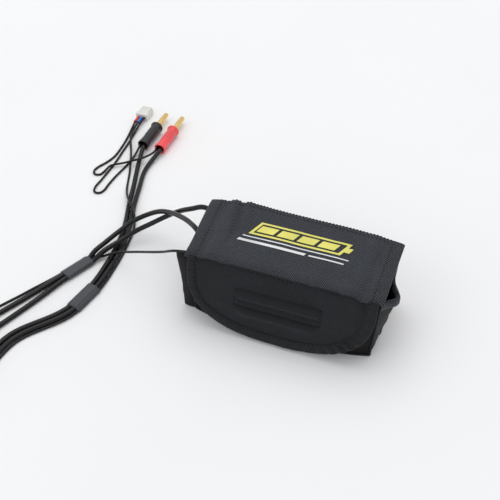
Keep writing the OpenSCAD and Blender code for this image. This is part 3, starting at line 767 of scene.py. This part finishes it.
def lid_walk(y):
    """The walk value of a place on the lid's top."""
    return BEND_END + (TOP_END - BEND_END) * (LID_BACK - y) / (LID_BACK - LID_FRONT)


def seam_line(x):
    """Where the seam along the fold runs, in millimetres below the fold line."""
    return -0.9 + 0.3 * math.sin(x * 0.45) + 0.25 * math.sin(x * 2.1)


def flap_relief(x, s):
    """How far the flap's face stands out from its flat place: puffs, seams and dents."""
    inside = step(abs(x), 28.5, 25.5)
    relief = 0.9 * (1 - (x / FLAP_HALF) ** 2) * math.sin(math.pi * min(1, max(0, s / 50)))
    relief -= 0.75 * bump(s, seam_line(x), 0.7) * step(abs(x), 57, 54)
    relief += 2.3 * inside * bump(s, 18.2, 2.1)
    relief += 1.1 * inside * bump(s, 23.8, 1.3)
    relief += 1.9 * step(abs(x + 1), 31, 18) * bump(s, 30.2, 2.4)
    on_side = step(s, 13.8, 15.2) * step(s, 27, 25.6)
    relief -= 1.1 * on_side * (bump(x, 27, 0.9) + bump(x, -27, 0.9))
    relief -= 1.2 * inside * (bump(s, 14.6, 0.9) + bump(s, 26.2, 0.9))
    relief += 0.8 * bump(x, -36, 6) * bump(s, 27, 5)
    relief += 0.7 * bump(x, 42, 9) * bump(s, 17, 7)
    relief -= 2.1 * bump(x, 52.5, 3.6) * bump(s, 3.5, 5.5)
    relief -= 0.9 * bump(x, 50, 3) * bump(s, 14, 6)
    relief += 0.40 * waves(x, s, 4, 17) + 0.13 * waves(x, s, 5, 6)
    return relief


def flap_point(x, s, lift=0.0):
    """Point on the flap, s millimetres down from the fold line, lift above its face."""
    relief = flap_relief(x, s) + lift
    if s < FOLD_END:
        share = 0.5 + 0.5 * (s - FOLD_TOP) / (FOLD_END - FOLD_TOP)
        here = fold_curve(x, share)
        way = unit(fold_curve(x, min(share + 0.02, 1)) - fold_curve(x, share - 0.02))
        normal = np.cross((1, 0, 0), way) * -1
        calm = step(s, FOLD_TOP, FOLD_TOP + 1.2)
        return here + normal * (flap_relief(x, s) * calm + lift)
    return np.array((x, FOLD_Y, FOLD_Z)) + DOWN * s + OUT * (OUTER + relief)


def flap_frame(x, s, lift=0.0):
    here = flap_point(x, s, lift)
    along = flap_point(x, s + 0.4, lift) - flap_point(x, s - 0.4, lift)
    across = flap_point(x + 0.4, s, lift) - flap_point(x - 0.4, s, lift)
    return here, unit(np.cross(across, along)) * -1


def flap_edge(angle, inset):
    """Outline of the flap: (x, s), angle 0 on the left and 180 on the right."""
    turn = math.radians(angle)
    straight = 8
    across = math.cos(turn)
    x = -(FLAP_HALF - inset) * math.copysign(abs(across) ** 0.8, across)
    return x, straight + (FLAP_DROP - inset - straight) * max(0, math.sin(turn)) ** 0.8


def build_lid_cloth():
    xs = np.linspace(HALF - 0.6, -HALF + 0.6, 126)
    walks = np.concatenate([np.linspace(0, BACK_END, 5), np.linspace(0.09, BEND_END, 6),
                            np.linspace(0.152, TOP_END, 58), np.linspace(0.87, 1, 11)])
    piece = shell("lid_cloth", surface(lid_point, xs, walks), 1.15, NYLON, "lid_panel")
    blend_lid(piece)


def blend_lid(piece):
    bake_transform(piece)


def blend_flap(piece):
    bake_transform(piece)


def build_lid_hem(side):
    """Hem folded round a short side of the lid: over the top, round the edge and back under."""
    name = "lid_hem_left" if side < 0 else "lid_hem_right"
    walks = np.concatenate([np.linspace(0.082, BEND_END, 6), np.linspace(0.15, TOP_END, 58),
                            np.linspace(0.87, 1, 10)])
    section = [(8.2, 0.02), (7.6, 0.12), (6.9, 0.10), (6.2, 0.24), (4.5, 0.34), (2.5, 0.36),
               (1.2, 0.30), (0.5, 0.15), (0.08, -0.15), (-0.12, -0.6), (0.08, -1.15), (0.6, -1.5),
               (2.0, -1.68), (5.0, -1.70), (7.5, -1.60)]

    def hem_point(place, walk):
        inset, lift = place
        ripple = 0.10 * waves(walk * 60, inset, 8, 3) * step(inset, 0.0, 2.0)
        return lid_frame(side * (HALF - inset + 0.25), walk, lift + ripple)[0]

    grid = surface(hem_point, section[::-side], walks)
    blend_lid(shell(name + "_fold", grid, 0.35, HEM_NYLON, name))


def build_lid_stitches():
    runs = [[lid_frame(side * (HALF - 6.9), w, 0.1) for w in np.linspace(0.15, 0.99, 60)]
            for side in (-1, 1)]
    threads("lid_hem_stitches", runs, "lid", "lid_hem_left")
    runs = [[lid_frame(x, 0.175, 0.05) for x in np.linspace(-54, 54, 60)]]
    threads("back_edge_stitches", runs, "lid", "lid_panel", length=1.7, gap=0.9)


def build_back_overcast():
    """Thread loops over the lid's back edge, which give it a finely scalloped outline."""
    count = 56
    loops = []
    for i in range(count):
        rings = []
        for k, walk in enumerate(np.linspace(0.055, 0.142, 7)):
            x = -60.5 + 121 * i / (count - 1) + 0.5 * (k / 6 - 0.5)
            lift, width = (0.05, 0.72) if 0 < k < 6 else (-0.3, 0.35)
            here, normal = lid_frame(x, walk, lift)
            way = unit(lid_frame(x, walk + 0.01, lift)[0] - here)
            side = unit(np.cross(way, normal))
            rings.append(ring_round(here, width * side, 0.3 * normal, 8))
        loops.append(rings)
    blend_lid(tubes("back_overcast", loops, BINDING, "lid_panel", turned=True))


def build_flap_cloth():
    rows = [(s, FLAP_HALF - 1.2) for s in np.linspace(FOLD_TOP, 7.5, 26)]
    for angle in np.concatenate([np.linspace(3, 60, 66), np.linspace(61.5, 88.5, 20)]):
        x, s = flap_edge(angle, 1.2)
        rows.append((s, -x))
    flat = np.array([[(c * half, s) for s, half in rows] for c in np.linspace(1, -1, 121)])
    grid = np.array([[flap_point(x, s) for x, s in row] for row in flat])
    piece = shell("flap_cloth", grid, 1.1, SHADED_FLAP_NYLON, "flap_panel", flat=flat)
    blend_flap(piece)


def binding_path():
    """Stations round the flap's edge, as functions of the inset: left side down, then round,
    then up the right side."""
    stations = [(-1, s) for s in np.linspace(FOLD_TOP, 7, 24)]
    stations += [(None, a) for a in np.linspace(0.5, 179.5, 460)]
    stations += [(1, s) for s in np.linspace(7, FOLD_TOP, 24)]
    return stations


def binding_spot(station, inset):
    side, value = station
    if side is None:
        return flap_edge(value, inset)
    return side * (FLAP_HALF - inset), value


def binding_width(station):
    """The band shows narrower on the left, where the edge rolls under."""
    side, value = station
    if side is None:
        return BAND - 1.6 * step(value, 70, 25)
    return BAND - (1.6 if side < 0 else 0)


def build_binding():
    stations = binding_path()
    section = [(1.0, -0.05), (0.96, 0.45), (0.75, 0.62), (0.5, 0.66), (0.25, 0.58), (0.1, 0.40),
               (0.03, 0.12), (-0.03, -0.35), (-0.03, -0.9), (0.03, -1.4), (0.12, -1.75),
               (0.35, -1.95), (0.7, -1.95), (0.97, -1.85)]
    rim = np.array([binding_spot(station, 0) for station in stations])

    def tape_point(place, spot):
        share, lift = place
        station, (outer_x, outer_s), along = spot
        x, s = binding_spot(station, share * binding_width(station))
        wavy = bump(outer_x, 46, 13) * bump(outer_s, 36, 11)
        pucker = 0.8 * wavy * math.sin(along * 0.95 + 2 * share) + 0.2 * waves(x, s, 9, 3)
        rib = 0.16 * math.cos(2 * math.pi * along / 1.7) * step(share, -0.03, 0.1)
        return flap_point(x, s, lift + pucker + rib)

    grid = surface(tape_point, section, list(zip(stations, rim, walked(rim))))
    blend_flap(shell("flap_binding_tape", grid, 0.35, BINDING, "flap_binding",
                     flat=flat_map(grid)[:, :, ::-1]))


def build_flap_stitches():
    run = []
    for station in binding_path()[20:-20:4]:
        x, s = binding_spot(station, binding_width(station) + 0.1)
        run.append(flap_frame(x, s, 0.15))
    threads("flap_stitches", [run], "flap", "flap_panel", 2.3, 0.5, 0.36)
    corners = [(-STRIP_HALF, STRIP_START), (STRIP_HALF, STRIP_START), (STRIP_HALF, STRIP_END),
               (-STRIP_HALF, STRIP_END), (-STRIP_HALF, STRIP_START)]
    runs = [[flap_frame(x0 + (x1 - x0) * t, s0 + (s1 - s0) * t, 0.02)
             for t in np.linspace(0, 1, 24)] for (x0, s0), (x1, s1) in zip(corners, corners[1:])]
    threads("strip_stitches", runs, "flap", "flap_panel", 1.9, 0.9, 0.3)
    seam = [flap_frame(x, seam_line(x), 0.1) for x in np.linspace(-53.5, 53.5, 120)]
    blend_flap(threads("fold_seam_stitches", [seam], None, "flap_panel", 2.2, 0.6, 0.3))


# ---------------------------------------------------------------- print on the lid

def ink_patch(name, shapes, material, replaces=False):
    """Flat ink shapes laid on the lid: each is (left, right, low, high, slant)."""
    points = []
    faces = []
    for left, right, low, high, slant in shapes:
        columns = max(2, int((right - left) / 1.2) + 1)
        rows = max(2, int((high - low) / 0.8) + 1)
        base = len(points)
        for i in range(columns):
            for j in range(rows):
                y = low + (high - low) * j / (rows - 1)
                x = left + (right - left) * i / (columns - 1) + slant * (y - low)
                points.append(tuple(lid_frame(x, lid_walk(y), 0.2)[0]))
                if i < columns - 1 and j < rows - 1:
                    a = base + i * rows + j
                    faces.append((a, a + rows, a + rows + 1, a + 1))
    spread = [points[v][:2] for face in faces for v in face]
    finish_mesh(name, points, faces, spread, material, "lid_print", "lid", replaces)


def build_print():
    slant = 0.45
    low, high = -0.2, 11.2
    left, right = -31, 28
    rim = 1.5
    rise = slant * (high - low - rim)
    inner_low, inner_high = low + rim, high - rim
    shift = slant * rim
    shapes = [
        (left, right, low, low + rim, slant),
        (left + rise, right + rise, high - rim, high, slant),
        (left + shift, left + shift + 2.0, inner_low, inner_high, slant),
        (right + shift - 2.0, right + shift, inner_low, inner_high, slant),
        (right + slant * 3.6, right + slant * 3.6 + 3.2, low + 3.6, high - 3.6, slant),
    ]
    bars = 4
    bar_pitch = (right - left - 6.4) / bars
    for i in range(bars):
        start = left + 3.6 + shift + bar_pitch * i
        shapes.append((start, start + bar_pitch - 2.2, inner_low + 1.4, inner_high - 1.4, slant))
    ink_patch("charge_mark", shapes, YELLOW_INK, replaces=True)
    ink_patch("under_line", [(-34, 34, -3.1, -2.2, slant), (-36, 7.5, -7.4, -5.4, slant),
                             (10, 32, -7.0, -5.9, slant)], WHITE_INK)


# ---------------------------------------------------------------- walls of the bag

def front_point(x_share, z):
    """Front panel's outer face; it bulges towards its foot, where the pack pushes it out."""
    half = 57.6 + 3.6 * z / 46
    x = x_share * half
    across = 1 - abs(x_share) ** 2.6
    bulge = 7.0 * across * (1 - (z / 46.5) ** 1.5)
    ripple = 0.35 * waves(x, z, 11, 12) * across
    return np.array((x, -25.1 - bulge + 0.3 * across - ripple, z))


def build_front():
    grid = surface(front_point, np.linspace(-1, 1, 100), np.linspace(WALL_FOOT, WALL_TOP, 36))
    piece = shell("front_cloth", grid, 1.0, SHADED_WALL_NYLON, "front_panel", "bag")


def back_half(z):
    """Half the back panel's width at a height."""
    return 57.5 + 4 * z / 49


def back_point(x_share, z):
    swell = 0.5 * (1 - x_share ** 4) * math.sin(math.pi * z / 49) ** 0.7
    return -x_share * back_half(z), 25.1 + swell + 0.25 * waves(x_share * 57, z, 12, 11), z


def build_back():
    grid = surface(back_point, np.linspace(-1, 1, 90), np.linspace(0.5, 49.2, 36))
    piece = shell("back_cloth", grid, 1.0, NYLON, "back_panel", "bag")
    runs = []
    for z in (2.6, 43.8):
        half = back_half(z) - 1.5
        runs.append([((x, 25.75, z), (0, 1, 0)) for x in np.linspace(-half, half, 40)])
    for side in (-1, 1):
        runs.append([((side * (back_half(z) - 1.8), 25.45, z), (0, 1, 0))
                     for z in np.linspace(3, 43, 24)])
    threads("back_stitches", runs, "bag", "back_panel")


def bottom_point(x_share, depth):
    front = front_point(x_share, 0.6)[1] + 0.8
    y = front + (24.6 - front) * depth
    return x_share * 57.2, y, 1.25 + 0.10 * waves(x_share * 57, y, 13, 14)


def build_bottom():
    grid = surface(bottom_point, np.linspace(-1, 1, 80), np.linspace(0, 1, 40))
    piece = shell("bottom_cloth", grid, 1.1, NYLON, "bottom_panel", "bag")


def plan_curve(points, count):
    """Even points along the smooth curve through a list of plan points."""
    return even_points(smooth_route(points, 10), np.linspace(0, 1, count))


def left_plan(z):
    """Plan of the left gusset at a height: out along the wing, round its edge and back in,
    then to the back panel."""
    rise = z / 46
    root = -57.9 - 3.4 * rise
    tip = -66.9 - 3.2 * rise + 0.5 * math.sin(rise * 5)
    return [
        (root, -24.9), (root - 3.5, -25.3), ((root + tip) / 2 - 1, -25.1 + 0.3 * rise),
        (tip + 1.2, -24.6 + 0.8 * rise), (tip, -24.0 + 0.9 * rise), (tip + 1.1, -23.2 + 0.7 * rise),
        ((root + tip) / 2, -23.0), (root - 1.5, -22.2), (root + 0.2, -19.5),
        (root + 0.2 - 1.2 * rise, -10), (root + 0.6 - 2.0 * rise, 3), (root + 0.4, 15),
        (root + 0.2, 23.8),
    ]


@functools.lru_cache(None)
def left_outline(z):
    return plan_curve(left_plan(z), LEFT_COLUMNS)


def left_station(i):
    """Height of the left gusset's top edge at a column, along its plan from 0 to 1."""
    return left_top(i / (LEFT_COLUMNS - 1))


def left_top(share):
    """High on the wing, low behind it."""
    wing = 1.0 * step(share, 0.0, 0.12) * step(share, 0.4, 0.2)
    return WALL_TOP - wing - 6.4 * step(share, 0.42, 0.62)


def left_point(i, level):
    z = WALL_FOOT + (left_station(i) - WALL_FOOT) * level
    x, y = left_outline(round(z, 1))[i]
    return x + 0.4 * waves(i * 0.7, z, 14, 6), y + 0.15 * waves(i * 0.9, z, 15, 6), z


def build_left_gusset():
    grid = surface(left_point, range(LEFT_COLUMNS)[::-1], np.linspace(0, 1, 34))
    piece = shell("left_gusset_cloth", grid, 0.9, SHADED_WALL_NYLON, "left_gusset", "bag")
    run = []
    for i in range(2, 34):
        z = left_station(i) - 3.2
        x, y = left_outline(round(z, 1))[i]
        run.append(((x, y - 0.05, z), (0, -1, 0.02)))
    threads("wing_stitches", [run], "bag", "left_gusset")


def right_plan(z):
    """Plan of the right gusset at a height: front edge, crease that bellies out, back edge."""
    rise = z / 46
    root = 57.9 + 2.4 * rise
    crease_x = 60.4 + 8.8 * rise ** 1.2
    crease_y = -5 - 9.5 * rise
    return [
        (root, -24.6), (root + 0.45 * (crease_x - root), (crease_y - 24.6) / 2 - 0.6),
        (crease_x - 0.9, crease_y - 2.2), (crease_x, crease_y), (crease_x - 1.0, crease_y + 2.4),
        (root + 0.42 * (crease_x - root), crease_y * 0.5 + 3),
        (root + 0.12 * (crease_x - root), 14), (root, 24.4),
    ]


def build_right_gusset():
    columns = 70
    levels = np.linspace(WALL_FOOT, WALL_TOP, 36)
    grid = np.zeros((columns, len(levels), 3))
    for j, z in enumerate(levels):
        plan = plan_curve(right_plan(z), columns)
        for i in range(columns):
            fade = math.sin(math.pi * i / (columns - 1))
            pull = 0.75 * waves(i * 0.9, z, 16, 8) * fade + 0.3 * waves(i, z, 17, 3.5) * fade
            grid[i, j] = (plan[i, 0] + pull, plan[i, 1] + 0.4 * pull, z)
    piece = shell("right_gusset_cloth", grid, 0.9, SHADED_WALL_NYLON, "right_gusset", "bag")


def hem_strip(run, width):
    """A folded strip over a top edge: each station of the run is (point, outward)."""
    section = [(0.55, -width), (0.62, -width / 2), (0.6, -0.6), (0.4, 0.25), (0.0, 0.55),
               (-0.6, 0.4), (-1.2, 0.1), (-1.45, -0.6), (-1.4, -width)]
    return np.array([[np.array(p) + np.array(out) * off + np.array((0, 0, up)) for p, out in run]
                     for off, up in section])


def hem_station(plan, i, z, side):
    """A point of a plan at a height, and the way out of the bag there."""
    way = heading(plan, i)
    return np.array((*plan[i], z)), np.array((side * way[1], -side * way[0], 0))


def build_gusset_hems():
    count = 60
    plan = plan_curve(right_plan(WALL_TOP), count)
    run = [hem_station(plan, i, WALL_TOP + 0.2 * waves(i, 0, 18, 9), 1) for i in range(count)]
    shell("right_gusset_hem", hem_strip(run, 5.2)[::-1], 0.35, HEM_NYLON, "gusset_hems", "bag")
    run = []
    for i in range(44, 94):
        z = left_station(i)
        run.append(hem_station(left_outline(round(z, 1)), i, z, -1))
    shell("left_gusset_hem", hem_strip(run, 4.0), 0.3, HEM_NYLON, "gusset_hems", "bag",
          replaces=False)
    level = WALL_TOP - 4
    plan = plan_curve(right_plan(level), count)
    run = [hem_station(plan, i, level, 1) for i in range(2, count - 2)]
    run = [(place + outward * 0.62, outward) for place, outward in run]
    threads("gusset_hem_stitches", [run], "bag", "gusset_hems")


def build_piping():
    """Corded seams where the front and back panels meet the gussets and the bottom."""
    runs = []
    for side, foot, top in ((-1, 57.9, 61.4), (1, 58.1, 60.6)):
        for y in (-25.3, 25.2):
            runs.append([(side * (foot + (top - foot) * t), y, 0.9 + 45 * t)
                         for t in np.linspace(0, 1, 14)])
    runs.append([front_point(c, 0.9) - np.array((0, 0.25, 0)) for c in np.linspace(-1, 1, 60)])
    runs.append([(x, 25.3, 0.9) for x in np.linspace(-57.8, 57.8, 40)])
    cords = []
    for run in runs:
        run = [np.array(p) for p in run]
        rings = []
        for i, here in enumerate(run):
            way = heading(run, i)
            side = unit(np.cross((1.0, 0, 0) if abs(way[2]) > 0.7 else (0, 0, 1.0), way))
            rings.append(ring_round(here, 0.75 * side, 0.75 * np.cross(way, side), 10))
        cords.append(rings)
    tubes("corner_piping", cords, BINDING, "front_panel", "bag", turned=True)


def build_lining():
    """Silver lining: four walls and a floor with rounded corners, slightly creased."""
    half_x, half_y, radius = 56.1, 22.8, 4.0
    ring = []
    for sx, sy, start in ((1, -1, -90), (1, 1, 0), (-1, 1, 90), (-1, -1, 180)):
        for k in range(8):
            angle = math.radians(start + 90 * k / 7)
            ring.append((sx * (half_x - radius) + radius * math.cos(angle),
                         sy * (half_y - radius) + radius * math.sin(angle)))
    outline = even_points(ring + ring[:1], np.linspace(0, 1, 181))
    stations = [(size, 1.75) for size in (0.02, 0.3, 0.6, 0.85, 0.95)] + [(1.0, 2.3), (1.0, 3.4)]
    stations += [(1.0, 3.4 + 33 * t) for t in np.linspace(0.05, 1, 22)]
    grid = np.zeros((len(outline), len(stations), 3))
    for i, (x, y) in enumerate(outline):
        for j, (size, z) in enumerate(stations):
            on_wall = size == 1.0
            crease = 0.22 * waves(i * 1.6, z, 21, 7) * on_wall
            high = z + 7.5 * (1 - step(x, -50, -56)) * max(0, z - 3.4) / 33 * on_wall
            grid[i, j] = (x * size - crease * x / half_x, y * size - crease * y / half_y, high)
    piece = shell("lining_cloth", grid[::-1], 0.35, LINING, "fire_liner", "bag")


def hook_point(x, s):
    lift = 0.45 + 0.05 * waves(x, s, 22, 2)
    return np.array((x, FOLD_Y, FOLD_Z)) + DOWN * s + OUT * lift


def loop_point(x, z):
    return front_point(x / 59.5, z) + np.array((0, -1.0 + 0.08 * waves(x, z, 23, 1.5), 0))


def build_strips():
    """Hook strip behind the flap and loop strip on the front panel."""
    hooks = surface(hook_point, np.linspace(-STRIP_HALF, STRIP_HALF, 60),
                    np.linspace(STRIP_START, STRIP_END, 16))
    shell("hook_strip_pile", hooks, 0.8, HOOKS, "hook_strip", "flap")
    loops = surface(loop_point, np.linspace(-30, 30, 66), np.linspace(17.5, 38, 24))
    shell("loop_strip_pile", loops, 0.9, LOOPS, "loop_strip", "bag")


# ---------------------------------------------------------------- carried-over CAD pieces

# Material, how far the edges are softened in millimetres, and the nodes that have them.
CAD_FINISH = [
    (BLACK_PLASTIC, 0.5, "case_tray case_cover"),
    (POUCH, 0.6, "cell_1 cell_2"),
    (STEEL, 0.05, "cell_tabs"),
    (STEEL, 0.1, "bus_bars connector_contacts"),
    (FOAM, 0.15, "foam_pads"),
    (CIRCUIT, 0.1, "balance_board"),
    (GOLD, 0.1, "positive_socket negative_socket balance_socket balance_pin"),
    (GOLD, 0.2, "positive_bullet negative_bullet"),
    (GOLD, 0.15, "positive_plug_pin negative_plug_pin"),
    (RED_PLASTIC, 0.3, "positive_boot"),
    (BLACK_PLASTIC, 0.3, "negative_boot"),
    (BLACK_PLASTIC, 0.2, "balance_boot"),
    (LABEL, 0.05, "pack_label"),
    (WHITE_PLASTIC, 0.3, "balance_connector"),
    (RED_SLEEVE, 0.15, "marker_sleeve_red"),
    (BLUE_SLEEVE, 0.15, "marker_sleeve_blue"),
]


def finish_cad_nodes():
    for material, edge, name in [(m, e, n) for m, e, names in CAD_FINISH for n in names.split()]:
        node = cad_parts[name]
        node.data.materials.clear()
        node.data.materials.append(material)
        bevel = node.modifiers.new("soft_edges", "BEVEL")
        bevel.width = edge * MM
        bevel.segments = 3
        bevel.limit_method = "ANGLE"
        bevel.angle_limit = math.radians(40)
        bevel.harden_normals = False
        node.data.shade_smooth()


# ---------------------------------------------------------------- building it all

build_camera()
build_studio()
finish_cad_nodes()

red_grip = build_plug_grip("positive_plug_grip", RED_PLASTIC)
black_grip = build_plug_grip("negative_plug_grip", BLACK_PLASTIC)
red_springs = build_spring_basket("positive_pin_springs", "positive_plug_pin")
black_springs = build_spring_basket("negative_pin_springs", "negative_plug_pin")
pack_sleeve = build_sleeve("pack_end_sleeve", 0, 2)
charger_sleeve = build_sleeve("charger_end_sleeve", 12, 14)

build_lead("positive_lead",
           POSITIVE_FROM_PACK + strand(POWER_SPACING, POWER_D / 2) + POSITIVE_TO_PLUG,
           POWER_D)
build_lead("negative_lead",
           NEGATIVE_FROM_PACK + strand(-POWER_SPACING, POWER_D / 2) + NEGATIVE_TO_PLUG,
           POWER_D)
build_lead("balance_lead",
           BALANCE_FROM_PACK + strand(SENSE_SPACING, SENSE_D / 2)[:-1] + BALANCE_TO_CONNECTOR,
           SENSE_D)
build_lead("positive_tap_wire", POSITIVE_TAP, SENSE_D)
build_lead("negative_tap_wire", NEGATIVE_TAP, SENSE_D)

build_lid_cloth()
build_lid_hem(-1)
build_lid_hem(1)
build_lid_stitches()
build_back_overcast()
build_flap_cloth()
build_binding()
build_flap_stitches()
build_print()
build_front()
build_back()
build_bottom()
build_left_gusset()
build_right_gusset()
build_gusset_hems()
build_piping()
build_lining()
build_strips()
